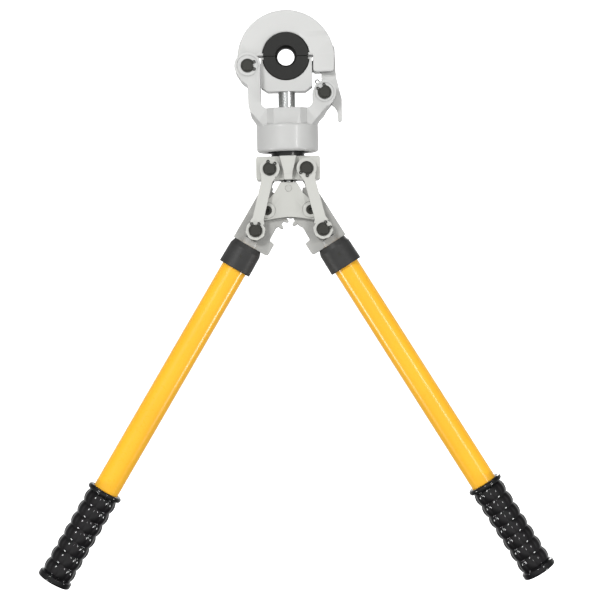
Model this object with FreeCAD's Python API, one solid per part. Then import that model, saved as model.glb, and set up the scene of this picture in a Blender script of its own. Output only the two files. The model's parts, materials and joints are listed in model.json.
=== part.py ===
"""Manual pipe press tool: a flip-top press head on two geared, linked levers with tube handles.

Millimetres, +Z up towards the head, +Y away from the front, origin in the middle of the press bore.
"""
import FreeCAD, Part
import math
import os

V = FreeCAD.Vector

# ---- press head -------------------------------------------------------------------------------
BORE_R = 8.0              # pressed contour in the dies
BORE_MOUTH_R = 10.2       # flared mouth of the contour
LAND = 5.0                # half length of the cylindrical land
DIE_R = 22.5
DIE_HALF = 11.0           # half thickness
DIE_FLAT = 21.2           # half distance over the side flats
DIE_FLAT_TOP = 3.0
DIE_GAP = 0.6             # rest gap between the two dies
SEAT_R = 22.6
JAW_R = 46.0
JAW_CENTRE_Z = -2.6
JAW_HALF = 10.0           # half thickness of both jaws
HINGE = (-36.2, -9.5)
KNUCKLE_R = 11.4
LATCH = (35.8, -35.9)
LATCH_R = 10.3
LATCH_HALF = 4.0
LATCH_SLOT_HALF = 4.3
BLADE_HALF = 3.2          # half thickness of the latch above its hub
BLADE_Z = -19.5
CATCH = (37.4, 0.0)       # catch pin in the right leg of the upper jaw
CATCH_R = 3.0
LEG_IN = 25.7             # right leg of the upper jaw
LEG_OUT = 45.0
LEG_Z = -15.5
LEG_PAD = 1.0             # how far the leg stands proud of the rest of the jaw
LEG_PAD_Z = 17.6          # top of the pad, where its slope begins
LOWER_W = 23.9            # lower jaw, from the middle to its left side
LOWER_RIGHT = 24.5
LOWER_TOP = -2.0
LOWER_Z = -33.6
LOWER_PIN_Z = -30.4       # cross pin between lower jaw and rod
GUIDE_OUT = 26.4          # guide rib on the right side of the lower jaw
GUIDE_HALF = 3.9
GUIDE_TOP, GUIDE_BOTTOM = -4.5, -15.0
GUIDE_PLAY = 0.4

# ---- fork -------------------------------------------------------------------------------------
GAP_W = 24.5              # half width between the arms
ARM_HALF = 18.3           # half thickness of the arms
EAR_HALF = 10.35          # half width of the slot for the upper jaw
FLOOR_Z = -50.0
PAD_W = 12.5
PAD_Y = 25.5              # front of the flat pad on the hub
PAD_Z = -67.0
COLLAR_R = 29.25
COLLAR_Z = -90.6
ROD_R = 8.0

# ---- swivel -----------------------------------------------------------------------------------
NECK_R = 15.75
FLANGE_R = 19.85
COUNTERBORE_R = 20.0
COUNTERBORE_Z = -69.0
FLANGE_TOP = -70.6
FLANGE_Z = -76.6

# ---- crosshead --------------------------------------------------------------------------------
HEAD_W = 30.3
HEAD_TOP = -95.0
HEAD_Z = -117.4
HEAD_HALF = 13.3
RIB_HALF = 19.6
UPPER_PIN = (-17.4, -107.1)

# ---- levers and links -------------------------------------------------------------------------
PIVOT = (-20.5, -146.0)
OPEN_ANGLE = 31.25        # handle to the vertical in the drawn position
CRANK = 22.0              # pivot to link pin, along the handle
LOWER_PIN = (-31.9, -164.8)
PIN_R = 5.0
PIN_HOLE = 5.07           # running bore on a 10 mm pin
LEVER_HALF = 8.0
BOSS_R = 9.3
PLATE_IN = 8.3
PLATE_OUT = 13.3
LINK_IN = 13.6
LINK_OUT = 19.6
EYE_R = 9.5               # round upper end of a link
LOWER_EYE = 17.8          # across the flats of its eight-sided lower end
LINK_W = 10.5
BUSH_R = 7.5
RECESS_R = 7.3            # shallow boss bore round the link pin
PUSH_PIN_Z = -125.5
PUSH_PIN_R = 3.25
SCREW_HEAD_R = 4.4
SCREW_R = 3.0
TEETH = 16
PITCH_R = 20.5
TIP_R = 22.3
ROOT_R = 18.2

# ---- handles ----------------------------------------------------------------------------------
SHOULDER = 37.3           # end of the lever casting, from the pivot along the handle
TUBE_R = 12.5
TUBE_BORE = 10.5
TUBE_END = 404.0
SLEEVE_END = 63.0
COLLAR_PIN_Z = -50.0
COLLAR_PIN_R = 1.5
GRIP_START = 307.0
GRIP_END = 408.5
GRIP_ROWS = 7

# ---- rings ------------------------------------------------------------------------------------
RING_T = 1.0
GROOVE_R = 4.8
RING_R = 6.45


def corner(before, point, after):
    """Start, middle and end of one corner of an outline; a third value rounds it."""
    here = V(point[0], 0, point[1])
    if len(point) < 3:
        return here, None, here
    to_before = (V(before[0], 0, before[1]) - here).normalize()
    to_after = (V(after[0], 0, after[1]) - here).normalize()
    half = to_before.getAngle(to_after) / 2
    reach = point[2] / math.tan(half)
    bisector = (to_before + to_after).normalize()
    middle = here + bisector * (point[2] / math.sin(half) - point[2])
    return here + to_before * reach, middle, here + to_after * reach


def face(points):
    """Face in the XZ plane; each point is (x, z) or (x, z, corner radius)."""
    count = len(points)
    corners = [corner(points[i - 1], points[i], points[(i + 1) % count]) for i in range(count)]
    edges = []
    for i in range(count):
        start, middle, end = corners[i]
        if middle is not None:
            edges.append(Part.Arc(start, middle, end).toShape())
        following = corners[(i + 1) % count][0]
        if end.distanceToPoint(following) > 1e-6:
            edges.append(Part.makeLine(end, following))
    return Part.Face(Part.Wire(edges))


def prism(points, near, far):
    """Outline extruded from y = near to y = far."""
    shape = face(points).extrude(V(0, far - near, 0))
    shape.translate(V(0, near, 0))
    return shape


def slab(points, half):
    return prism(points, -half, half)


def rod_y(place, radius, near, far):
    return Part.makeCylinder(radius, far - near, V(place[0], near, place[1]), V(0, 1, 0))


def rod_z(radius, low, high):
    return Part.makeCylinder(radius, high - low, V(0, 0, low))


def box(low_x, high_x, low_z, high_z, half):
    return slab([(low_x, low_z), (high_x, low_z), (high_x, high_z), (low_x, high_z)], half)


def lathe(points):
    """Closed (radius, z) outline turned about the Z axis."""
    return face(points).revolve(V(0, 0, 0), V(0, 0, 1), 360)


def lathe_y(place, points):
    """Closed (radius, y) outline turned about an axis along Y through place."""
    shape = lathe(points)
    shape.rotate(V(0, 0, 0), V(1, 0, 0), -90)
    shape.translate(V(place[0], 0, place[1]))
    return shape


def mirrored(shape):
    """The same shape on the other side of the middle plane."""
    return shape.mirror(V(0, 0, 0), V(1, 0, 0))


def back(shape):
    """The same shape on the rear of the tool."""
    return shape.mirror(V(0, 0, 0), V(0, 1, 0))


def both_faces(shape):
    """The shape with its copy on the back, as two solids."""
    return Part.makeCompound([shape, back(shape)])


def other_side(place):
    return (-place[0], place[1])


def polar(centre, radius, degrees):
    angle = math.radians(degrees)
    return (centre[0] + radius * math.cos(angle), centre[1] + radius * math.sin(angle))


def export(name, shape):
    shape.exportStep("parts/%s.step" % name)


# ---- pins and rings ---------------------------------------------------------------------------

def pin(place, half_stack):
    """Headless 10 mm pin, grooved for a ring just outside each face of the stack."""
    end = half_stack + 2.3
    groove = half_stack + 0.05
    points = [(0, -end), (PIN_R - 0.6, -end), (PIN_R, -end + 0.6)]
    points += [(PIN_R, -groove - RING_T - 0.05), (GROOVE_R - 0.1, -groove - RING_T - 0.05)]
    points += [(GROOVE_R - 0.1, -groove), (PIN_R, -groove), (PIN_R, groove), (GROOVE_R - 0.1, groove)]
    points += [(GROOVE_R - 0.1, groove + RING_T + 0.05), (PIN_R, groove + RING_T + 0.05)]
    points += [(PIN_R, end - 0.6), (PIN_R - 0.6, end), (0, end)]
    return lathe_y(place, points)


def ring(place, half_stack, opening):
    """Retaining ring with two eared ends, its gap turned to the opening angle."""
    near = -half_stack - 0.08 - RING_T
    far = -half_stack - 0.08
    shape = rod_y(place, RING_R, near, far)
    for side in (-28, 28):
        ear = polar(place, 7.0, opening + side)
        shape = shape.fuse(rod_y(ear, 1.6, near, far))
    shape = shape.cut(rod_y(place, GROOVE_R, near - 1, far + 1))
    wedge = [place, polar(place, 14, opening - 17), polar(place, 14, opening + 17)]
    shape = shape.cut(prism(wedge, near - 1, far + 1))
    for side in (-28, 28):
        hole = polar(place, 7.0, opening + side)
        shape = shape.cut(rod_y(hole, 0.75, near - 1, far + 1))
    return shape


def rings(place, half_stack, opening):
    return both_faces(ring(place, half_stack, opening))


# ---- head -------------------------------------------------------------------------------------

def fork_outline():
    """Front outline of both arms, without the boss circles and the opening."""
    left = [(-29, -70), (-29, -63.8), (-34, -56.4, 3), (-36.3, -46, 6), (-36.5, -28, 2)]
    left += [(-42.5, -23.2), (-47.3, -15.5), (-36, -9.5), (-24.5, -9.5)]
    right = [(24.5, -34), (35.8, -34), (46.8, -35.9), (44.6, -43), (38.4, -50.8, 5)]
    right += [(35.0, -57, 2), (31.2, -60.5), (29, -64.5), (29, -70)]
    return left + right


def fork_body():
    """Arms, flat-sided hub and round collar in one casting."""
    arms = slab(fork_outline(), ARM_HALF)
    bosses = rod_y(HINGE, 12.6, -ARM_HALF, ARM_HALF)
    bosses = bosses.fuse(rod_y(LATCH, 11.0, -ARM_HALF, ARM_HALF))
    opening_top = 40
    opening = [(-GAP_W, opening_top), (GAP_W, opening_top)]
    opening += [(GAP_W, FLOOR_Z, 6.5), (-GAP_W, FLOOR_Z, 6.5)]
    flare = lathe([(0, -75), (COLLAR_R, -75), (COLLAR_R, -66, 4), (34.5, -58.5, 10), (42, -49),
                   (80, -40), (80, 30), (0, 30)])
    body = arms.common(flare).fuse(bosses).cut(slab(opening, 40))
    plan = [(PAD_W, PAD_Y), (PAD_W + 6, ARM_HALF + 0.3)]
    plan += [(x, -y) for x, y in reversed(plan)]
    plan += [(-x, y) for x, y in reversed(plan)]
    hub = Part.Face(Part.makePolygon([V(x, y, PAD_Z) for x, y in plan + plan[:1]]))
    body = body.fuse(hub.extrude(V(0, 0, FLOOR_Z - PAD_Z)))
    collar = lathe([(0, COLLAR_Z), (COLLAR_R, COLLAR_Z, 2.8), (COLLAR_R, -65, 2.4), (0, -65)])
    return body.fuse(collar)


def fork_slots():
    """Slots between the hinge ears and between the latch cheeks."""
    hinge_slot = rod_y(HINGE, KNUCKLE_R + 0.8, -EAR_HALF, EAR_HALF)
    sweep = [HINGE, polar(HINGE, 40, 227), (-80, -30), (-80, 20), (-20, 20), (-20, -9.5)]
    hinge_slot = hinge_slot.fuse(slab(sweep, EAR_HALF))
    latch_slot = rod_y(LATCH, LATCH_R + 0.6, -LATCH_SLOT_HALF, LATCH_SLOT_HALF)
    tail = [(24, -20), (24, -34), LATCH, (36, -52), (60, -75), (60, -20)]
    return hinge_slot.fuse(latch_slot.fuse(slab(tail, LATCH_SLOT_HALF)))


def spring_pocket():
    """Round pocket beside the latch, open towards the jaws."""
    pocket = rod_y(LATCH, 8.2, LATCH_SLOT_HALF - 0.5, 11.4)
    return pocket.fuse(prism([(26.4, -36), (31, -36), (32, -20), (26.4, -20)], 3.5, 7.0))


def fork_frame():
    body = fork_body().cut(fork_slots()).cut(spring_pocket())
    body = body.cut(rod_y(HINGE, PIN_R + 0.05, -30, 30)).cut(rod_y(LATCH, PIN_R + 0.05, -30, 30))
    for place, radius in ((HINGE, 9.6), (LATCH, 8.6)):
        groove = rod_y(place, radius + 0.5, -ARM_HALF - 1, -ARM_HALF + 0.3)
        groove = groove.cut(rod_y(place, radius, -ARM_HALF - 2, 0))
        body = body.cut(both_faces(groove))
    body = body.cut(rod_z(ROD_R + 1.2, -100, 0))
    body = body.cut(rod_z(10.55, -66.1, -52.9)).cut(rod_z(11.55, -52.9, -40))
    body = body.cut(rod_z(COUNTERBORE_R, -100, COUNTERBORE_Z))
    return body.cut(rod_z(21.1, -84.6, -82.6))


def rod_bush():
    return rod_z(10.5, -66.0, -53.0).cut(rod_z(ROD_R + 0.06, -70, -50))


def rod_seal():
    """Wiper ring round the rod at the top of the hub."""
    points = [(8.35, -52.9), (11.5, -52.9), (11.5, -50.1), (9.6, -50.1), (8.35, -48.9)]
    return lathe(points)


def swivel_retaining_ring():
    ring = rod_z(21.0, -84.5, -82.7).cut(rod_z(17.4, -90, -80))
    gap = [(-3, -90), (3, -90), (3, -80), (-3, -80)]
    return ring.cut(prism(gap, -30, 0))


def latch_spring():
    """Torsion spring beside the latch: three turns, a straight leg up and an eye at its end."""
    wire, radius, y = 0.65, 6.4, 5.3
    pitch = 2 * wire * 1.15
    helix = Part.makeHelix(pitch, 3 * pitch, radius)
    edge = helix.Edges[0]
    start = edge.valueAt(edge.FirstParameter)
    circle = Part.Wire(Part.makeCircle(wire, start, edge.tangentAt(edge.FirstParameter)))
    coil = Part.Wire(helix.Edges).makePipeShell([circle], True, True)
    coil.rotate(V(0, 0, 0), V(1, 0, 0), -90)
    coil.rotate(V(0, 0, 0), V(0, 1, 0), 180)
    leg = Part.makeCylinder(wire, 11.5, V(-radius, 0, -0.3))
    eye = Part.makeTorus(1.7, wire, V(-radius, 0, 12.4), V(0, 1, 0))
    spring = coil.fuse(leg).fuse(eye)
    spring.translate(V(LATCH[0], y, LATCH[1]))
    return spring


# ---- upper jaw --------------------------------------------------------------------------------

def jaw_outline(half):
    """Half disc with a leg on its right."""
    disc = rod_y((0, JAW_CENTRE_Z), JAW_R, -half, half).common(box(-60, 60, 0.4, 60, 30))
    leg = [(LEG_IN, 0.4), (LEG_IN, LEG_Z, 2.2), (LEG_OUT, LEG_Z, 2.5)]
    leg += [(45.6, -9), (45.9, 0.4)]
    return disc.fuse(slab(leg, half))


def leg_pad():
    """Raised front of the right leg, with a slope on its top and inner side."""
    rings = []
    for left, top, depth in ((12, LEG_PAD_Z + 5.2, JAW_HALF), (17, LEG_PAD_Z, JAW_HALF + LEG_PAD)):
        rings.append([V(x, -depth, z) for x, z in ((left, -40), (60, -40), (60, top), (left, top))])
    low, high = rings
    walls = [[low[k], low[(k + 1) % 4], high[(k + 1) % 4], high[k]] for k in range(4)]
    sides = [Part.Face(Part.makePolygon(points + points[:1])) for points in walls + [low, high]]
    block = Part.makeSolid(Part.makeShell(sides))
    if block.Volume < 0:
        block.reverse()
    return jaw_outline(JAW_HALF + LEG_PAD).common(block)


def jaw_blank():
    """C-shaped jaw without its die seat, with its knuckle on the left."""
    shape = jaw_outline(JAW_HALF).fuse(leg_pad()).fuse(back(leg_pad()))
    return shape.fuse(rod_y(HINGE, KNUCKLE_R, -JAW_HALF, JAW_HALF))


def seat(centre_z):
    """Room for a die: round, with a lip that faces each side flat near the split."""
    shape = rod_y((0, centre_z), SEAT_R, -30, 30)
    for side in (-1, 1):
        lip = sorted((side * (DIE_FLAT + 0.2), side * 40))
        shape = shape.cut(box(lip[0], lip[1], centre_z - 2.7, centre_z + 2.7, 40))
    return shape


def upper_jaw():
    shape = jaw_blank()
    shape = shape.cut(seat(0))
    shape = shape.cut(rod_y(HINGE, PIN_HOLE, -30, 30))
    slot = [(32.2, -40), (32.2, 12.5), (60, 12.5), (60, -40)]
    shape = shape.cut(slab(slot, LATCH_SLOT_HALF))
    groove = box(20, GUIDE_OUT + GUIDE_PLAY, -40, GUIDE_TOP + 2, GUIDE_HALF + GUIDE_PLAY)
    shape = shape.cut(groove)
    shape = shape.cut(rod_y(CATCH, CATCH_R + 0.03, -7.0, 7.0))
    return shape.cut(rod_z(2.55, 20, 33))


def die_half():
    """Upper half of the die blank, round the bore."""
    rim = 1.0
    profile = [(BORE_MOUTH_R, -DIE_HALF), (DIE_R - rim, -DIE_HALF), (DIE_R, -DIE_HALF + rim)]
    profile += [(DIE_R, DIE_HALF - rim), (DIE_R - rim, DIE_HALF), (BORE_MOUTH_R, DIE_HALF)]
    profile += [(BORE_MOUTH_R, LAND + 3.5), (BORE_R, LAND), (BORE_R, -LAND), (BORE_MOUTH_R, -LAND - 3.5)]
    shape = lathe_y((0, 0), profile).common(box(-40, 40, 0, 40, 30))
    for side in (-1, 1):
        flat = sorted((side * DIE_FLAT, side * 40))
        shape = shape.cut(box(flat[0], flat[1], -10, DIE_FLAT_TOP, 30))
    return shape


def upper_die():
    return die_half().cut(rod_z(2.05, 20.5, 40))


def latch_catch_pin():
    return rod_y(CATCH, CATCH_R, -6.9, 6.9)


def detent(bottom, top):
    """Spring plunger that holds a die in its seat."""
    return lathe([(0, bottom), (1.3, bottom), (1.95, bottom + 0.7), (1.95, bottom + 1.9),
                  (2.5, bottom + 1.9), (2.5, top), (0, top)])


# ---- ram --------------------------------------------------------------------------------------

def lower_jaw():
    """Slide for the lower die, with a rib that the groove in the upper jaw's leg guides."""
    outline = [(-LOWER_W, LOWER_TOP), (-LOWER_W, -29.5), (-18, LOWER_Z), (18, LOWER_Z)]
    outline += [(LOWER_RIGHT, -29.0), (LOWER_RIGHT, LOWER_TOP)]
    shape = slab(outline, JAW_HALF)
    shape = shape.fuse(box(LOWER_RIGHT - 1, GUIDE_OUT, GUIDE_BOTTOM, GUIDE_TOP, GUIDE_HALF))
    shape = shape.cut(seat(-DIE_GAP))
    shape = shape.cut(rod_z(4.05, LOWER_Z - 1, LOWER_Z + 7.0))
    shape = shape.cut(rod_z(2.55, -26.4, -20))
    return shape.cut(rod_y((0, LOWER_PIN_Z), 1.25, -7, 30))


def lower_die():
    shape = die_half().mirror(V(0, 0, 0), V(0, 0, 1))
    shape.translate(V(0, 0, -DIE_GAP))
    return shape.cut(rod_z(2.05, -40, -DIE_GAP - 20.5))


def lower_die_detent():
    shape = detent(21.0, 25.7).mirror(V(0, 0, 0), V(0, 0, 1))
    shape.translate(V(0, 0, -DIE_GAP))
    return shape


def ram_rod():
    """Chromed rod with a spigot into the lower jaw and a button for the push block."""
    shape = lathe([(0, -119.5), (4.2, -119.5), (4.7, -119.0), (4.7, -117.4), (3.0, -117.4),
                   (3.0, -112.6), (ROD_R - 0.8, -112.6), (ROD_R, -111.8), (ROD_R, LOWER_Z - 0.02),
                   (4.0, LOWER_Z - 0.02), (4.0, LOWER_Z + 6.8), (0, LOWER_Z + 6.8)])
    return shape.cut(rod_y((0, LOWER_PIN_Z), 1.25, -30, 30))


def lower_jaw_pin():
    return rod_y((0, LOWER_PIN_Z), 1.2, -6.9, 9.6)


# ---- latch ------------------------------------------------------------------------------------

def latch_lever():
    """Flat latch: blade up into the jaw, hub on its pin, finger tail down."""
    outline = [(33.3, -36), (33.3, -8.0, 3), (41.2, -3.8, 2), (41.2, 10.0, 1), (45.2, 10.0, 1.5)]
    outline += [(46.4, 6), (46.9, -15), (47.5, -21), (50.9, -36), (52.2, -41), (52.3, -62.5, 2.0)]
    outline += [(48.4, -62.5, 1.6), (47.7, -52.5, 3), (45.4, -48.7, 2), (40, -44.5)]
    shape = slab(outline, LATCH_HALF)
    shape = shape.cut(both_faces(prism([(20, BLADE_Z), (60, BLADE_Z), (60, 20), (20, 20)],
                                       -LATCH_HALF - 1, -BLADE_HALF)))
    shape = shape.fuse(rod_y(LATCH, LATCH_R, -LATCH_HALF, LATCH_HALF))
    return shape.cut(rod_y(LATCH, PIN_HOLE, -10, 10))


# ---- crosshead --------------------------------------------------------------------------------

def crosshead():
    outline = [(-HEAD_W, HEAD_Z, 2.5), (HEAD_W, HEAD_Z, 2.5), (HEAD_W, HEAD_TOP, 2.5)]
    outline += [(-HEAD_W, HEAD_TOP, 2.5)]
    shape = slab(outline, HEAD_HALF)
    rib = [(-3.9, HEAD_Z), (3.9, HEAD_Z), (3.9, -112, 6), (8.1, HEAD_TOP), (-8.1, HEAD_TOP)]
    rib += [(-3.9, -112, 6)]
    shape = shape.fuse(slab(rib, RIB_HALF))
    shape = shape.cut(rod_z(ROD_R + 0.6, -130, 0)).cut(rod_z(11.55, -104.1, 0))
    shape = shape.cut(box(-8, 8, -130, -111.5, 9))
    for place in (UPPER_PIN, other_side(UPPER_PIN)):
        shape = shape.cut(rod_y(place, PIN_R + 0.05, -30, 30))
    return shape


def swivel_neck():
    """Neck screwed into the crosshead, with the flange that the collar holds."""
    return lathe([(ROD_R + 0.6, -104), (11.5, -104), (11.5, HEAD_TOP), (NECK_R, HEAD_TOP),
                  (NECK_R, -89.4), (14.6, -89.4), (14.6, -86.6), (NECK_R, -86.6),
                  (NECK_R, FLANGE_Z), (FLANGE_R, FLANGE_Z), (FLANGE_R, FLANGE_TOP),
                  (ROD_R + 0.6, FLANGE_TOP)])


def thrust_washer():
    return rod_z(19.4, -70.58, -69.08).cut(rod_z(10, -80, -60))


def swivel_oring():
    shape = Part.makeTorus(16.0, 1.35)
    shape.translate(V(0, 0, -88.0))
    return shape


# ---- push frame -------------------------------------------------------------------------------

def push_plate():
    """Front plate that carries both lever pivots under the crosshead."""
    half = [(7.8, -119.6, 2), (10.3, -124), (13.8, -130, 5), (18.6, -134.6, 4), (29.2, -140.5, 6)]
    half += [(29.8, -150, 4), (24.6, -155.4, 1.5)]
    left = [(-p[0],) + tuple(p[1:]) for p in reversed(half)]
    shape = prism(half + [(0, -152.0, 60)] + left, -PLATE_OUT, -PLATE_IN)
    for place in (PIVOT, other_side(PIVOT)):
        groove = rod_y(place, 8.0, -PLATE_OUT - 1, -PLATE_OUT + 0.3)
        shape = shape.cut(groove.cut(rod_y(place, 7.4, -40, 0)))
        shape = shape.cut(rod_y(place, SCREW_HEAD_R + 0.05, -20, -9.3))
        shape = shape.cut(rod_y(place, SCREW_R + 0.05, -20, 0))
    return shape.cut(rod_y((0, PUSH_PIN_Z), PUSH_PIN_R + 0.05, -20, 0))


def push_block():
    outline = [(-7, -113.5), (-7, -125.5), (-4, -130), (4, -130), (7, -125.5), (7, -113.5)]
    shape = slab(outline, PLATE_IN)
    shape = shape.cut(box(-3.4, 3.4, -116.6, -110, 20))
    shape = shape.cut(box(-5.0, 5.0, -120.6, -116.6, 20))
    return shape.cut(rod_y((0, PUSH_PIN_Z), PUSH_PIN_R + 0.05, -20, 20))


def push_pin():
    end = PLATE_OUT + 0.4
    return lathe_y((0, PUSH_PIN_Z), [(0, -end), (PUSH_PIN_R - 0.35, -end), (PUSH_PIN_R, -PLATE_OUT),
                                     (PUSH_PIN_R, PLATE_OUT), (PUSH_PIN_R - 0.35, end), (0, end)])


def hexagon(place, across_flats):
    return [polar(place, across_flats / math.sqrt(3), 60 * k) for k in range(6)]


def pivot_screw(place):
    shape = rod_y(place, SCREW_HEAD_R, -PLATE_OUT, -9.35).fuse(rod_y(place, SCREW_R, -9.4, 12.0))
    return shape.cut(prism(hexagon(place, 4.0), -PLATE_OUT - 1, -PLATE_OUT + 2.6))


def pivot_nut(place):
    shape = rod_y(place, SCREW_HEAD_R, 9.35, PLATE_OUT).cut(rod_y(place, SCREW_R, 9, 12.02))
    return shape.cut(prism(hexagon(place, 4.0), PLATE_OUT - 1.2, PLATE_OUT + 1))


def pivot_sleeve(place):
    shape = rod_y(place, 5.5, -PLATE_IN + 0.02, PLATE_IN - 0.02)
    return shape.cut(rod_y(place, SCREW_R + 0.05, -20, 20))


def pair(maker):
    return Part.makeCompound([maker(PIVOT), maker(other_side(PIVOT))])


# ---- levers, in their own frame: pivot at the origin, handle along -Z, outside towards -X ------

def placed(shape):
    """Turn a left lever part to the drawn opening and set it on its pivot."""
    shape.rotate(V(0, 0, 0), V(0, 1, 0), OPEN_ANGLE)
    shape.translate(V(PIVOT[0], 0, PIVOT[1]))
    return shape


def involute(radius):
    """Angle in degrees by which the flank has turned at this radius."""
    base = PITCH_R * math.cos(math.radians(22))
    if radius <= base:
        return 0.0
    roll = math.acos(base / radius)
    return math.degrees(math.tan(roll) - roll)


def tooth(centre_angle):
    """One gear tooth about the pivot, thinned for running clearance."""
    half_at_pitch = 360.0 / TEETH / 4 - 1.1
    radii = [ROOT_R - 1.5, ROOT_R + 0.8, PITCH_R, (PITCH_R + TIP_R) / 2, TIP_R]
    side = [half_at_pitch + involute(PITCH_R) - involute(r) for r in radii]
    right = [polar((0, 0), r, centre_angle - a) for r, a in zip(radii, side)]
    left = [polar((0, 0), r, centre_angle + a) for r, a in zip(radii, side)]
    return slab(right + left[::-1], LEVER_HALF)


def gear_sector(phase):
    """Toothed sector. The line of centres lies OPEN_ANGLE round in the lever's own frame."""
    shape = rod_y((0, 0), ROOT_R, -LEVER_HALF, LEVER_HALF)
    step = 360.0 / TEETH
    for k in range(-2, 4):
        shape = shape.fuse(tooth(OPEN_ANGLE + phase + k * step))
    return shape


def lever_casting(phase):
    outline = [(-6.2, 21.2), (-15.4, 16), (-15.4, -SHOULDER, 1), (21.3, -SHOULDER, 3)]
    outline += [(21.3, -24.2, 1), (15.6, -23.4, 2), (15.2, -10), (0, 0)]
    outside = box(-40, -15.4, -30, 40, 30)
    shape = slab(outline, LEVER_HALF).fuse(gear_sector(phase).cut(outside))
    link_pin = (0, -CRANK)
    shape = shape.fuse(rod_y(link_pin, BOSS_R, -PLATE_OUT, PLATE_OUT))
    spigot = Part.makeCylinder(TUBE_BORE - 0.05, 62 - SHOULDER + 6, V(0, 0, -62))
    shape = shape.fuse(spigot)
    shape = shape.cut(rod_y((-0.3, -CRANK - 1.3), RECESS_R, -30, 30))
    shape = shape.cut(rod_y((0, 0), BUSH_R, -30, 30))
    return shape.cut(rod_y((0, COLLAR_PIN_Z), COLLAR_PIN_R + 0.05, -30, 30))


def pivot_bush():
    return rod_y((0, 0), BUSH_R - 0.05, -LEVER_HALF, LEVER_HALF).cut(rod_y((0, 0), 5.57, -20, 20))


def tube_collar():
    """Plastic collar over the joint of lever and tube."""
    near, far = -SHOULDER - 0.1, -SLEEVE_END
    shape = lathe([(TUBE_R + 0.05, far), (16.1, far, 0.8), (15.75, near - 5), (14.0, near, 0.5),
                   (TUBE_R + 0.05, near)])
    return shape.cut(rod_y((0, COLLAR_PIN_Z), COLLAR_PIN_R + 0.05, -30, 30))


def collar_pin():
    return rod_y((0, COLLAR_PIN_Z), COLLAR_PIN_R, -15.6, 15.6)


def handle_tube():
    shape = lathe([(TUBE_BORE, -TUBE_END), (TUBE_R, -TUBE_END), (TUBE_R, -SHOULDER - 0.3),
                   (TUBE_BORE, -SHOULDER - 0.3)])
    return shape.cut(rod_y((0, COLLAR_PIN_Z), COLLAR_PIN_R + 0.05, -30, 30))


def handle_grip():
    """Soft sleeve with a rolled lip, rows of bulges and a thick closed end."""
    bore = TUBE_R + 0.05
    lip, pitch, first = 4.5, 12.4, GRIP_START + 6.5
    outline = [(bore, -GRIP_START), (17.4, -GRIP_START, 1.8), (17.4, -GRIP_START - lip, 1.8)]
    outline += [(14.9, -GRIP_START - lip - 0.8)]
    for row in range(GRIP_ROWS):
        start = first + row * pitch
        outline += [(14.9, -start), (15.6, -start - 2.4), (15.6, -start - pitch + 2.4)]
    last = first + GRIP_ROWS * pitch
    outline += [(14.9, -last), (16.8, -last - 1.2, 0.8), (16.8, -GRIP_END + 2.5, 2.0)]
    outline += [(10, -GRIP_END), (0, -GRIP_END), (0, -TUBE_END - 0.1), (bore, -TUBE_END - 0.1)]
    return lathe(outline)


def tube_plug():
    return lathe([(0, -TUBE_END + 14), (TUBE_BORE - 0.05, -TUBE_END + 14),
                  (TUBE_BORE - 0.05, -TUBE_END), (0, -TUBE_END)])


def link_plate():
    """Front link between crosshead and lever, on the left."""
    top = V(UPPER_PIN[0], 0, UPPER_PIN[1])
    bottom = V(LOWER_PIN[0], 0, LOWER_PIN[1])
    length = top.distanceToPoint(bottom)
    half = LINK_W / 2
    bar = [(-half, 0), (-half, -length), (half, -length), (half, 0)]
    shape = prism(bar, -LINK_OUT, -LINK_IN)
    shape = shape.fuse(rod_y((0, 0), EYE_R, -LINK_OUT, -LINK_IN))
    corner_r = LOWER_EYE / 2 / math.cos(math.pi / 8)
    end = [polar((0, -length), corner_r, 22.5 + 45 * k) + (2.5,) for k in range(8)]
    shape = shape.fuse(prism(end, -LINK_OUT, -LINK_IN))
    for z, turn in ((-7, 1), (-length + 7, -1)):
        neck = [(-half - 1.9, z), (half + 1.9, z), (half, z - turn * 4.5), (-half, z - turn * 4.5)]
        shape = shape.fuse(prism(neck, -LINK_OUT, -LINK_IN))
    shape = shape.cut(rod_y((0, 0), PIN_HOLE, -30, 0)).cut(rod_y((0, -length), PIN_R + 0.05, -30, 0))
    lean = math.degrees(math.atan2(top.x - bottom.x, top.z - bottom.z))
    shape.rotate(V(0, 0, 0), V(0, 1, 0), lean)
    shape.translate(top)
    return shape.removeSplitter()


# ---- write every sub-part ---------------------------------------------------------------------

def write_head():
    export("fork_frame", fork_frame())
    export("hinge_pin", pin(HINGE, ARM_HALF))
    export("hinge_circlips", rings(HINGE, ARM_HALF, 0))
    export("latch_pin", pin(LATCH, ARM_HALF))
    export("latch_circlips", rings(LATCH, ARM_HALF, 122))
    export("latch_spring", latch_spring())
    export("rod_bush", rod_bush())
    export("rod_seal", rod_seal())
    export("swivel_retaining_ring", swivel_retaining_ring())


def write_jaws():
    export("upper_jaw", upper_jaw())
    export("upper_die", upper_die())
    export("latch_catch_pin", latch_catch_pin())
    export("upper_die_detent", detent(21.0, 31.0))
    export("latch_lever", latch_lever())
    export("lower_jaw", lower_jaw())
    export("lower_die", lower_die())
    export("lower_die_detent", lower_die_detent())
    export("ram_rod", ram_rod())
    export("lower_jaw_pin", lower_jaw_pin())


def write_middle():
    export("crosshead", crosshead())
    export("swivel_neck", swivel_neck())
    export("thrust_washer", thrust_washer())
    export("swivel_oring", swivel_oring())
    export("push_plate_front", push_plate())
    export("push_plate_back", back(push_plate()))
    export("push_block", push_block())
    export("push_pin", push_pin())
    export("pivot_screws", pair(pivot_screw))
    export("pivot_nuts", pair(pivot_nut))
    export("pivot_sleeves", pair(pivot_sleeve))


def same(thing):
    return thing


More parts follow.
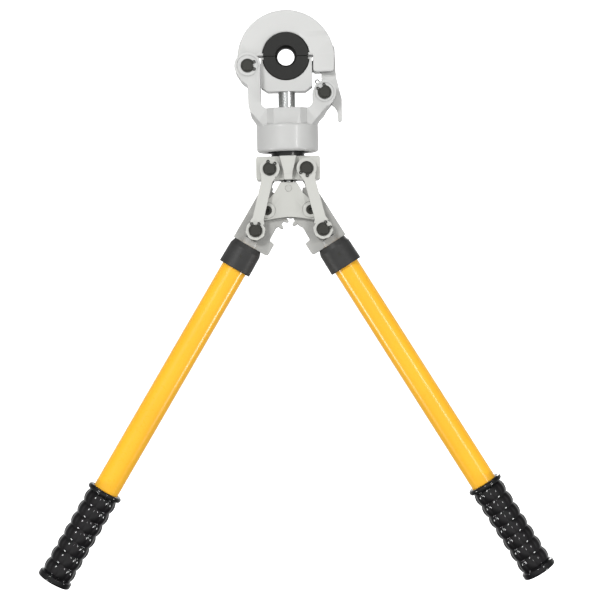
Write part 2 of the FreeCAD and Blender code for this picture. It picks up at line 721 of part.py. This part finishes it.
def write_side(side, phase, upper_opening, lower_opening):
    """One lever with its handle, and its pair of links."""
    flip, place = (mirrored, other_side) if side == "right" else (same, same)
    lever_parts = {"lever": lever_casting(phase), "pivot_bush": pivot_bush(),
                   "tube_collar": tube_collar(), "collar_pin": collar_pin(),
                   "handle_tube": handle_tube(), "grip": handle_grip(), "tube_plug": tube_plug()}
    for name, shape in lever_parts.items():
        export("%s_%s" % (name, side), flip(placed(shape)))
    export("link_front_%s" % side, flip(link_plate()))
    export("link_back_%s" % side, flip(back(link_plate())))
    export("upper_link_pin_%s" % side, flip(pin(UPPER_PIN, LINK_OUT)))
    export("lower_link_pin_%s" % side, flip(pin(LOWER_PIN, LINK_OUT)))
    export("upper_circlips_%s" % side, rings(place(UPPER_PIN), LINK_OUT, upper_opening))
    export("lower_circlips_%s" % side, rings(place(LOWER_PIN), LINK_OUT, lower_opening))


os.makedirs("parts", exist_ok=True)
write_head()
write_jaws()
write_middle()
write_side("left", -5.625, 73, 90)
write_side("right", 5.625, 245, 43)
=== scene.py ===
"""Looks of the manual pipe press tool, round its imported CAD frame. Metres, +Z up, front to -Y."""
import json
import math

import bmesh
import bpy
from mathutils import Matrix, Vector

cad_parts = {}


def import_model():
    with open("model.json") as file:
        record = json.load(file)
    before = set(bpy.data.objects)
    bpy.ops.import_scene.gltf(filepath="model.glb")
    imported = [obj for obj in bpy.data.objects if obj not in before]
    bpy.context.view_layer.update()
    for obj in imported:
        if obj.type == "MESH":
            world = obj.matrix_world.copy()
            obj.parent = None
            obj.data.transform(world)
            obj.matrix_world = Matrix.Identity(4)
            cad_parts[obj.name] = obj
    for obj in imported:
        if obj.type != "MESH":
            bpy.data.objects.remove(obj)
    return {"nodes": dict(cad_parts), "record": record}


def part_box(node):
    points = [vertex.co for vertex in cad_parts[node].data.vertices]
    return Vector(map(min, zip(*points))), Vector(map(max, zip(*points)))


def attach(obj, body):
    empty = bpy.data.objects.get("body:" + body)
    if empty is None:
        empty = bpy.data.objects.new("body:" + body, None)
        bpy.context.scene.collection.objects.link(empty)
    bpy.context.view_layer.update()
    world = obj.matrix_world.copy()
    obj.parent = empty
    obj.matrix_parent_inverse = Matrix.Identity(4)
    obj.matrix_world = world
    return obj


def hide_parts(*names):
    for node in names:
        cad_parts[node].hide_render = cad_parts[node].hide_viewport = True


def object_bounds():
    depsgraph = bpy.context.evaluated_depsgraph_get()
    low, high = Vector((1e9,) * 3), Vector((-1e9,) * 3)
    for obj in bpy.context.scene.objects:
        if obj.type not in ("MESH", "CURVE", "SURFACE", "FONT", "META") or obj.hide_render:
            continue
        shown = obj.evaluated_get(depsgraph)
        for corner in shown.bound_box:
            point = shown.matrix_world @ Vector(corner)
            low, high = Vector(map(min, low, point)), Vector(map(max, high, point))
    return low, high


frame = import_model()
cad_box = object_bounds()
bpy.context.scene.view_settings.view_transform = "Standard"

MM = 0.001
SIDES = ("left", "right")

# ---- camera and surroundings ----------------------------------------------------------------------
CAMERA_DISTANCE = 1.900
CAMERA_ROLL = math.radians(1.2)
HEAD_IN_VIEW = (-0.01342, 0.23084)   # the press bore, left of and above the middle of the view
LENS = 120.0
SENSOR_WIDTH = 36.0
FLOOR_GAP = 0.06          # the handles reach 50 mm lower when they are closed
FLOOR_RADIUS = 2.6        # where the studio floor starts to rise
SWEEP_RADIUS = 1.2
SWEEP_STEPS = 24
WALL_HEIGHT = 5.0
STUDIO_SIDES = 96
TENT_STRENGTH = 0.83


# ---- node helpers ---------------------------------------------------------------------------------

def new_material(name):
    """Empty node material with its Principled shader and object coordinates."""
    mat = bpy.data.materials.new(name)
    mat.use_nodes = True
    nodes = mat.node_tree.nodes
    nodes.clear()
    out = nodes.new("ShaderNodeOutputMaterial")
    shader = nodes.new("ShaderNodeBsdfPrincipled")
    mat.node_tree.links.new(shader.outputs["BSDF"], out.inputs["Surface"])
    coords = nodes.new("ShaderNodeTexCoord")
    return mat, shader, coords.outputs["Object"]


def link(owner, source, target):
    """Connect two sockets of a material's or a world's node tree."""
    owner.node_tree.links.new(source, target)


def noise(mat, coords, scale, detail=4.0, rough=0.55, stretch=None):
    """Noise texture over the object's own coordinates, stretched along an axis if asked."""
    nodes = mat.node_tree.nodes
    node = nodes.new("ShaderNodeTexNoise")
    node.inputs["Scale"].default_value = scale
    node.inputs["Detail"].default_value = detail
    node.inputs["Roughness"].default_value = rough
    if stretch:
        mapping = nodes.new("ShaderNodeMapping")
        mapping.inputs["Scale"].default_value = stretch
        link(mat, coords, mapping.inputs["Vector"])
        coords = mapping.outputs["Vector"]
    link(mat, coords, node.inputs["Vector"])
    return node.outputs["Fac"]


def spread(owner, value, low, high, start=0.35, end=0.65):
    """Map start to end onto low to high. The default range is where most of a noise's values lie."""
    node = owner.node_tree.nodes.new("ShaderNodeMapRange")
    for name, number in (("From Min", start), ("From Max", end), ("To Min", low), ("To Max", high)):
        node.inputs[name].default_value = number
    link(owner, value, node.inputs["Value"])
    return node.outputs["Result"]


def blend_colours(mat, value, first, second):
    """Colour that goes from first to second as the value goes from 0 to 1."""
    node = mat.node_tree.nodes.new("ShaderNodeMix")
    node.data_type = "RGBA"
    node.inputs["A"].default_value = (*first, 1)
    node.inputs["B"].default_value = (*second, 1)
    link(mat, value, node.inputs["Factor"])
    return node.outputs["Result"]


def bump(mat, shader, height, distance, strength=1.0):
    """Add a bump of the given height in metres, on top of any bump already there."""
    node = mat.node_tree.nodes.new("ShaderNodeBump")
    node.inputs["Distance"].default_value = distance
    node.inputs["Strength"].default_value = strength
    link(mat, height, node.inputs["Height"])
    normal = shader.inputs["Normal"]
    if normal.is_linked:
        link(mat, normal.links[0].from_socket, node.inputs["Normal"])
    link(mat, node.outputs["Normal"], normal)


def edge_mask(mat, start, end):
    """1 on convex edges, 0 elsewhere."""
    node = mat.node_tree.nodes.new("ShaderNodeNewGeometry")
    return spread(mat, node.outputs["Pointiness"], 0.0, 1.0, start, end)


def mottle(mat, shader, value, dark, light):
    """Base colour that drifts between two tones with a noise value."""
    link(mat, blend_colours(mat, spread(mat, value, 0, 1), dark, light), shader.inputs["Base Color"])


def tinted(colour, factor):
    """The colour made lighter or darker by a factor."""
    return tuple(min(1.0, channel * factor) for channel in colour)


def round_edges(mat, shader, radius):
    """Shade the edges as if rounded to this radius."""
    node = mat.node_tree.nodes.new("ShaderNodeBevel")
    node.samples = 6
    node.inputs["Radius"].default_value = radius
    link(mat, node.outputs["Normal"], shader.inputs["Normal"])


def paint_crevice_shade(mat, colour, depth, darkest):
    """Painted shade: darken a colour where other surfaces are close, as shade falls in gaps and hollows.
    """
    nodes = mat.node_tree.nodes
    near = nodes.new("ShaderNodeAmbientOcclusion")
    near.samples = 8
    near.inputs["Distance"].default_value = depth
    shade_multiply = nodes.new("ShaderNodeMix")
    shade_multiply.data_type = "RGBA"
    shade_multiply.blend_type = "MULTIPLY"
    shade_multiply.inputs["Factor"].default_value = 1.0
    link(mat, colour, shade_multiply.inputs["A"])
    # painted shade: the closer other surfaces are, the nearer the colour goes to darkest
    painted_shade = blend_colours(mat, spread(mat, near.outputs["AO"], 0, 1, 0.05, 0.62), darkest, (1, 1, 1))
    link(mat, painted_shade, shade_multiply.inputs["B"])
    return shade_multiply.outputs["Result"]


# ---- materials ------------------------------------------------------------------------------------

def painted(name, colour, rough, grain, grain_height, radius):
    """Sprayed paint over a casting or forging: cloudy tone, fine grain, round edges, painted shade in
    gaps.
    """
    mat, shader, coords = new_material(name)
    round_edges(mat, shader, radius)
    cloud = noise(mat, coords, 28.0, 3.0)
    tone = blend_colours(mat, spread(mat, cloud, 0, 1), tinted(colour, 0.955), tinted(colour, 1.03))
    rubbed = mat.node_tree.nodes.new("ShaderNodeMix")
    rubbed.data_type = "RGBA"
    rubbed.inputs["B"].default_value = (*tinted(colour, 1.12), 1)
    link(mat, tone, rubbed.inputs["A"])
    link(mat, edge_mask(mat, 0.53, 0.60), rubbed.inputs["Factor"])
    # painted shade: the base colour goes darker where other surfaces are within 4 mm
    crevice_shaded = paint_crevice_shade(mat, rubbed.outputs["Result"], 0.004, (0.16, 0.16, 0.155))
    link(mat, crevice_shaded, shader.inputs["Base Color"])
    fine = noise(mat, coords, grain, 3.0)
    link(mat, spread(mat, fine, rough - 0.06, rough + 0.07), shader.inputs["Roughness"])
    shader.inputs["Coat Weight"].default_value = 0.18
    shader.inputs["Coat Roughness"].default_value = 0.15
    bump(mat, shader, fine, grain_height)
    bump(mat, shader, noise(mat, coords, 190.0, 2.0), grain_height * 2.5, 0.6)
    return mat


def steel(name, colour, rough, metallic=0.9, grain=900.0, stretch=None, gloss=0.5):
    """Worked steel: tool marks in tone, gloss and bump."""
    mat, shader, coords = new_material(name)
    shader.inputs["Specular IOR Level"].default_value = gloss
    marks = noise(mat, coords, grain, 4.0, 0.6, stretch)
    mottle(mat, shader, marks, tinted(colour, 0.85), tinted(colour, 1.15))
    link(mat, spread(mat, marks, rough - 0.07, rough + 0.07), shader.inputs["Roughness"])
    shader.inputs["Metallic"].default_value = metallic
    bump(mat, shader, marks, 0.00002)
    return mat


def plastic(name, colour, rough, grain=700.0, height=0.00003):
    """Moulded plastic: fine spark-eroded grain and slow changes of gloss."""
    mat, shader, coords = new_material(name)
    shader.inputs["Specular IOR Level"].default_value = 0.3
    mottle(mat, shader, noise(mat, coords, 45.0, 3.0), tinted(colour, 0.88), tinted(colour, 1.12))
    fine = noise(mat, coords, grain, 3.0)
    link(mat, spread(mat, fine, rough - 0.05, rough + 0.06), shader.inputs["Roughness"])
    bump(mat, shader, fine, height)
    return mat


def powder_coat(name, colour):
    """Glossy yellow powder coat with a slight orange peel."""
    mat, shader, coords = new_material(name)
    mottle(mat, shader, noise(mat, coords, 18.0, 2.0), tinted(colour, 0.97), tinted(colour, 1.02))
    peel = noise(mat, coords, 260.0, 1.0, 0.3)
    link(mat, spread(mat, peel, 0.27, 0.33), shader.inputs["Roughness"])
    shader.inputs["Specular IOR Level"].default_value = 0.2
    shader.inputs["Coat Weight"].default_value = 0.28
    shader.inputs["Coat Roughness"].default_value = 0.19
    bump(mat, shader, peel, 0.000004)
    return mat


def dipped_vinyl(name):
    """Glossy dipped black vinyl of the grips."""
    mat, shader, coords = new_material(name)
    cloud = noise(mat, coords, 60.0, 3.0)
    mottle(mat, shader, cloud, (0.006, 0.006, 0.0063), (0.010, 0.010, 0.0105))
    smear = noise(mat, coords, 240.0, 3.0)
    link(mat, spread(mat, smear, 0.10, 0.12), shader.inputs["Roughness"])
    shader.inputs["Specular IOR Level"].default_value = 0.22
    shader.inputs["Coat Weight"].default_value = 0.25
    shader.inputs["Coat Roughness"].default_value = 0.06
    bump(mat, shader, smear, 0.000001)
    return mat


# slot: colour, roughness, grain's scale and height
PAINTS = {
    "cast_paint": ((0.516, 0.518, 0.508), 0.40, 1500.0, 0.000012),
    "machined": ((0.486, 0.488, 0.459), 0.36, 1800.0, 0.000008),
    "forged": ((0.355, 0.355, 0.338), 0.45, 1300.0, 0.000014),
}
# radius in mm that a painted node's edges are shaded with
PAINT_EDGE = {"fork_frame": 1.2, "upper_jaw": 2.0, "crosshead": 1.4}
DEFAULT_PAINT_EDGE = 0.8


def make_materials():
    """Materials of all slots but the paints, by slot."""
    return {
        "die_steel": steel("phosphated_die_steel", (0.019, 0.019, 0.018), 0.50, 0.0, 1400.0, None, 0.22),
        "black_steel": steel("black_oxide_pins", (0.036, 0.036, 0.031), 0.42, 0.0, 1600.0, None, 0.25),
        "spring_steel": steel("bright_spring_steel", (0.50, 0.50, 0.49), 0.28, 1.0, 1200.0),
        "bronze": steel("machined_bronze", (0.55, 0.36, 0.17), 0.32, 1.0, 900.0),
        "chrome": steel("hard_chrome", (0.53, 0.54, 0.535), 0.24, 1.0, 1400.0),
        "neck_steel": steel("turned_black_neck", (0.05, 0.05, 0.048), 0.25, 0.8, 50.0, (1, 1, 60.0)),
        "seal_rubber": plastic("nitrile_seal", (0.02, 0.02, 0.02), 0.5),
        "collar_plastic": plastic("matt_black_collar", (0.034, 0.034, 0.0336), 0.50, 900.0, 0.00004),
        "yellow_paint": powder_coat("yellow_powder_coat", (0.99, 0.505, 0.026)),
        "grip_pvc": dipped_vinyl("dipped_black_vinyl"),
    }


def node_material(node, slot, materials):
    """The slot's material; paint is made for each node, because its edges are rounded differently."""
    if slot not in PAINTS:
        return materials[slot]
    return painted(slot + "_" + node, *PAINTS[slot], PAINT_EDGE.get(node, DEFAULT_PAINT_EDGE) * MM)


# ---- CAD nodes: materials, softened edges, smooth shading -----------------------------------------

# width in mm of the bevel that softens a node's edges, by the start of its name
EDGE_WIDTHS = {
    "fork_frame": 0.35, "upper_jaw": 1.0, "lower_jaw": 0.4, "crosshead": 0.5, "lever_": 0.3,
    "link_": 0.4, "push_plate": 0.4, "latch_lever": 0.3, "tube_collar": 0.4, "handle_tube": 0.3,
}
DEFAULT_WIDTH = 0.12
NO_BEVEL = ("grip_", "latch_spring", "swivel_oring")
EDGE_ANGLE = math.radians(32)


def edge_width(node):
    """Bevel width of a node in mm."""
    matches = (width for start, width in EDGE_WIDTHS.items() if node.startswith(start))
    return next(matches, DEFAULT_WIDTH)


def shade_smooth(obj, angle):
    """Smooth shading with edges sharper than angle kept crisp."""
    mesh = obj.data
    mesh.shade_smooth()
    mesh.set_sharp_from_angle(angle=angle)


def dress_node(name, obj, materials, slots):
    """Give a CAD node its material, and round its hard edges with a modifier."""
    obj.data.materials.clear()
    obj.data.materials.append(node_material(name, slots[name], materials))
    shade_smooth(obj, EDGE_ANGLE)
    if name.startswith(NO_BEVEL):
        return
    bevel = obj.modifiers.new("edges", "BEVEL")
    bevel.width = edge_width(name) * MM
    bevel.segments = 3
    bevel.limit_method = "ANGLE"
    bevel.angle_limit = EDGE_ANGLE
    bevel.harden_normals = True
    bevel.use_clamp_overlap = True


# ---- grips ----------------------------------------------------------------------------------------

GRIP_LENGTH = 101.5 * MM
GRIP_CAP = 3.8 * MM        # end wall beyond the tube
LIP = 5.0 * MM             # rolled edge at the upper end
LIP_R = 17.3 * MM
LIP_ROUND = 2.2 * MM
END_FLANGE = 7.6 * MM
END_R = 16.7 * MM
END_ROUND = 2.6 * MM
ROWS = 7                   # of bulges along the grip
COLUMNS = 10               # of bulges around it
VALLEY_R = 13.9 * MM
BULGE = 1.8 * MM
BORE_R = 12.6 * MM
BORE_SEEN = 3.0 * MM       # how far the mesh follows the bore
AROUND = 192
PER_ROW = 16
ARC_STEPS = 10
DOME_STEPS = 6


def handle_axis(side):
    """Pivot point, unit vector down the handle, and distance from the pivot to the tube's end."""
    joint = {"left": "handle_open", "right": "handle_right_pivot"}[side]
    joints = frame["record"]["behaviour"]["joints"]
    pivot = Vector(next(entry["pos_m"] for entry in joints if entry["name"] == joint))
    low, high = (Vector(corner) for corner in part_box("handle_tube_" + side))
    centre = (low + high) / 2
    down = (centre - pivot).normalized()
    radius = (high.y - low.y) / 2
    lean = abs(down.x)
    length = ((high.x - low.x) - 2 * radius * math.sqrt(1 - lean * lean)) / lean
    return pivot, down, (centre - pivot).length + length / 2


def pillow(phase):
    """0 in the groove between two bulges, 1 on their crown."""
    return max(0.0, math.sin(math.pi * phase)) ** 0.75


def quarter(step):
    """Sine of a quarter turn's step and what its cosine lacks to one, both from 0 to 1."""
    turn = math.pi * 0.5 * step / ARC_STEPS
    return math.sin(turn), 1 - math.cos(turn)


def grip_profile():
    """(distance from the upper end, radius, bulge share) from the bore's mouth to the end's middle."""
    points = [(BORE_SEEN, BORE_R, 0), (0.6 * MM, BORE_R, 0), (0.0, BORE_R + 0.7 * MM, 0)]
    for k in range(ARC_STEPS + 1):
        turn = math.pi * k / ARC_STEPS
        radius = LIP_R - LIP_ROUND + LIP_ROUND * math.sin(turn)
        points.append((LIP / 2 * (1 - math.cos(turn)), radius, 0))
    first = LIP + 0.6 * MM
    last = GRIP_LENGTH - END_FLANGE - 0.8 * MM
    pitch = (last - first) / ROWS
    for row in range(ROWS):
        for k in range(PER_ROW):
            phase = k / PER_ROW
            points.append((first + (row + phase) * pitch, VALLEY_R, pillow(phase)))
    points.append((last, VALLEY_R, 0))
    for k in range(ARC_STEPS + 1):
        rise, lag = quarter(k)
        points.append((last + 0.4 * MM + 1.6 * MM * lag, VALLEY_R + (END_R - VALLEY_R) * rise, 0))
    rim = GRIP_LENGTH - 3.2 * MM
    points.append((rim, END_R, 0))
    for k in range(1, ARC_STEPS + 1):
        rise, lag = quarter(k)
        points.append((rim + 2.2 * MM * rise, END_R - END_ROUND * lag, 0))
    for k in range(1, DOME_STEPS + 1):
        share = k / DOME_STEPS
        points.append((GRIP_LENGTH - 1.0 * MM * (1 - share) ** 2, (END_R - END_ROUND) * (1 - share), 0))
    return points


def grip_mesh(side, material):
    """Dipped grip: rolled lip, rows of pillow bulges, thick domed end."""
    pivot, down, tube_end = handle_axis(side)
    start = pivot + down * (tube_end + GRIP_CAP - GRIP_LENGTH)
    depth = Vector((0, 1, 0))
    across = depth.cross(down)
    profile = grip_profile()
    verts = []
    for along, radius, share in profile[:-1]:
        for k in range(AROUND):
            angle = 2 * math.pi * k / AROUND
            column = (k / AROUND * COLUMNS + 0.5) % 1.0
            r = radius + BULGE * share * (0.5 + 0.5 * pillow(column))
            verts.append(start + down * along + (across * math.cos(angle) + depth * math.sin(angle)) * r)
    faces = []
    for i in range(len(profile) - 2):
        for k in range(AROUND):
            following = (k + 1) % AROUND
            a, b = i * AROUND + k, i * AROUND + following
            faces.append((a, b, b + AROUND, a + AROUND))
    tip = len(verts)
    verts.append(start + down * profile[-1][0])
    ring = (len(profile) - 2) * AROUND
    faces += [(ring + k, ring + (k + 1) % AROUND, tip) for k in range(AROUND)]
    inner = len(verts)
    wall = [start + down * (GRIP_LENGTH - GRIP_CAP) + (across * math.cos(a) + depth * math.sin(a)) * BORE_R
            for a in (2 * math.pi * k / AROUND for k in range(AROUND))]
    verts += wall
    faces += [((k + 1) % AROUND, k, inner + k, inner + (k + 1) % AROUND) for k in range(AROUND)]
    faces.append(tuple(inner + k for k in range(AROUND)))
    mesh = bpy.data.meshes.new("grip_%s_sleeve" % side)
    mesh.from_pydata([tuple(v) for v in verts], [], faces)
    obj = bpy.data.objects.new("grip_%s_sleeve" % side, mesh)
    bpy.context.scene.collection.objects.link(obj)
    fix_normals(mesh)
    mesh.materials.append(material)
    shade_smooth(obj, math.radians(60))
    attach(obj, "handle_" + side)
    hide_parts("grip_" + side)
    return obj


def fix_normals(mesh):
    """Make every face look outwards."""
    work = bmesh.new()
    work.from_mesh(mesh)
    bmesh.ops.recalc_face_normals(work, faces=work.faces)
    work.to_mesh(mesh)
    work.free()


# ---- stage, light and camera ----------------------------------------------------------------------

def backdrop():
    """White round studio: a floor that sweeps up into a wall on every side, and lights nothing."""
    floor = cad_box[0][2] - FLOOR_GAP
    line = [(FLOOR_RADIUS, 0.0)]
    for k in range(1, SWEEP_STEPS + 1):
        turn = math.pi / 2 * k / SWEEP_STEPS
        line.append((FLOOR_RADIUS + SWEEP_RADIUS * math.sin(turn), SWEEP_RADIUS * (1 - math.cos(turn))))
    line.append((FLOOR_RADIUS + SWEEP_RADIUS, WALL_HEIGHT))
    verts = [(0, 0, floor)]
    for radius, height in line:
        for k in range(STUDIO_SIDES):
            turn = 2 * math.pi * k / STUDIO_SIDES
            verts.append((radius * math.cos(turn), radius * math.sin(turn), floor + height))
    faces = []
    for k in range(STUDIO_SIDES):
        following = (k + 1) % STUDIO_SIDES
        faces.append((0, 1 + k, 1 + following))
        for row in range(len(line) - 1):
            low, high = 1 + row * STUDIO_SIDES, 1 + (row + 1) * STUDIO_SIDES
            faces.append((low + k, high + k, high + following, low + following))
    mesh = bpy.data.meshes.new("backdrop")
    mesh.from_pydata(verts, [], faces)
    mesh.shade_smooth()
    obj = bpy.data.objects.new("backdrop", mesh)
    bpy.context.scene.collection.objects.link(obj)
    mat, shader, coords = new_material("white_paper")
    fibres = noise(mat, coords, 350.0, 3.0)
    mottle(mat, shader, fibres, (0.90, 0.90, 0.90), (0.94, 0.94, 0.94))
    shader.inputs["Roughness"].default_value = 0.9
    shader.inputs["Specular IOR Level"].default_value = 0.0
    shader.inputs["Emission Color"].default_value = (1, 1, 1, 1)
    shader.inputs["Emission Strength"].default_value = 1.0
    mesh.materials.append(mat)
    obj.visible_diffuse = False
    obj.visible_glossy = False
    obj.visible_shadow = False


def softbox(name, at, target, size, power):
    """Rectangular studio light aimed at a point."""
    data = bpy.data.lights.new(name, "AREA")
    data.shape = "RECTANGLE"
    data.size, data.size_y = size
    data.energy = power
    obj = bpy.data.objects.new(name, data)
    obj.location = at
    obj.rotation_euler = (Vector(target) - Vector(at)).to_track_quat("-Z", "Y").to_euler()
    bpy.context.scene.collection.objects.link(obj)


def lights():
    """Two soft lights in front, one low at each side, one overhead and one behind."""
    middle = (0.0, 0.0, -0.20)
    softbox("key", (-1.1, -2.4, 1.0), middle, (0.6, 0.6), 36.0)
    softbox("fill", (1.6, -2.3, 0.4), middle, (0.25, 0.7), 16.0)
    softbox("side_left", (-1.5, -0.45, -1.2), (0.15, 0, -0.35), (0.32, 0.32), 11.0)
    softbox("side_right", (1.5, -0.45, -1.2), (-0.15, 0, -0.35), (0.32, 0.32), 11.0)
    softbox("top", (0.0, -0.3, 2.0), middle, (1.6, 0.8), 7.0)
    softbox("back", (0.6, 2.4, 1.0), middle, (0.8, 0.8), 30.0)


def product(owner, first, second):
    """Two values multiplied."""
    node = owner.node_tree.nodes.new("ShaderNodeMath")
    node.operation = "MULTIPLY"
    link(owner, first, node.inputs[0])
    link(owner, second, node.inputs[1])
    return node.outputs["Value"]


def world():
    """Light tent: bright before and behind the tool, dimmer at its sides, overhead and below."""
    tent = bpy.data.worlds.new("light_tent")
    bpy.context.scene.world = tent
    tent.use_nodes = True
    nodes = tent.node_tree.nodes
    nodes.clear()
    out = nodes.new("ShaderNodeOutputWorld")
    light = nodes.new("ShaderNodeBackground")
    coords = nodes.new("ShaderNodeTexCoord")
    axes = nodes.new("ShaderNodeSeparateXYZ")
    link(tent, coords.outputs["Generated"], axes.inputs["Vector"])
    depth = nodes.new("ShaderNodeMath")
    depth.operation = "ABSOLUTE"
    link(tent, axes.outputs["Y"], depth.inputs[0])
    ahead = spread(tent, depth.outputs["Value"], 0.32, 1.0, 0.22, 0.85)
    raised = spread(tent, axes.outputs["Z"], 0.25, 1.0, -0.9, -0.3)
    lowered = spread(tent, axes.outputs["Z"], 1.0, 0.30, 0.45, 0.9)
    link(tent, product(tent, product(tent, ahead, raised), lowered), light.inputs["Color"])
    light.inputs["Strength"].default_value = TENT_STRENGTH
    link(tent, light.outputs["Background"], out.inputs["Surface"])


def camera():
    """Level camera in front of the tool, tilted a degree or so about its own axis."""
    data = bpy.data.cameras.new("camera")
    data.lens = LENS
    data.sensor_width = SENSOR_WIDTH
    obj = bpy.data.objects.new("camera", data)
    bpy.context.scene.collection.objects.link(obj)
    right = Vector((math.cos(CAMERA_ROLL), 0, -math.sin(CAMERA_ROLL)))
    up = Vector((math.sin(CAMERA_ROLL), 0, math.cos(CAMERA_ROLL)))
    back = Vector((0, -1, 0))
    turn = Matrix((right, up, back)).transposed().to_4x4()
    at = back * CAMERA_DISTANCE - right * HEAD_IN_VIEW[0] - up * HEAD_IN_VIEW[1]
    obj.matrix_world = Matrix.Translation(at) @ turn
    bpy.context.scene.camera = obj


# ---- build ----------------------------------------------------------------------------------------

materials = make_materials()
slots = {entry["node"]: entry["material_slot"] for entry in frame["record"]["subparts"]}
for node_name, node_object in frame["nodes"].items():
    dress_node(node_name, node_object, materials, slots)
for side_name in SIDES:
    grip_mesh(side_name, materials["grip_pvc"])
backdrop()
lights()
world()
camera()

bpy.context.view_layer.update()
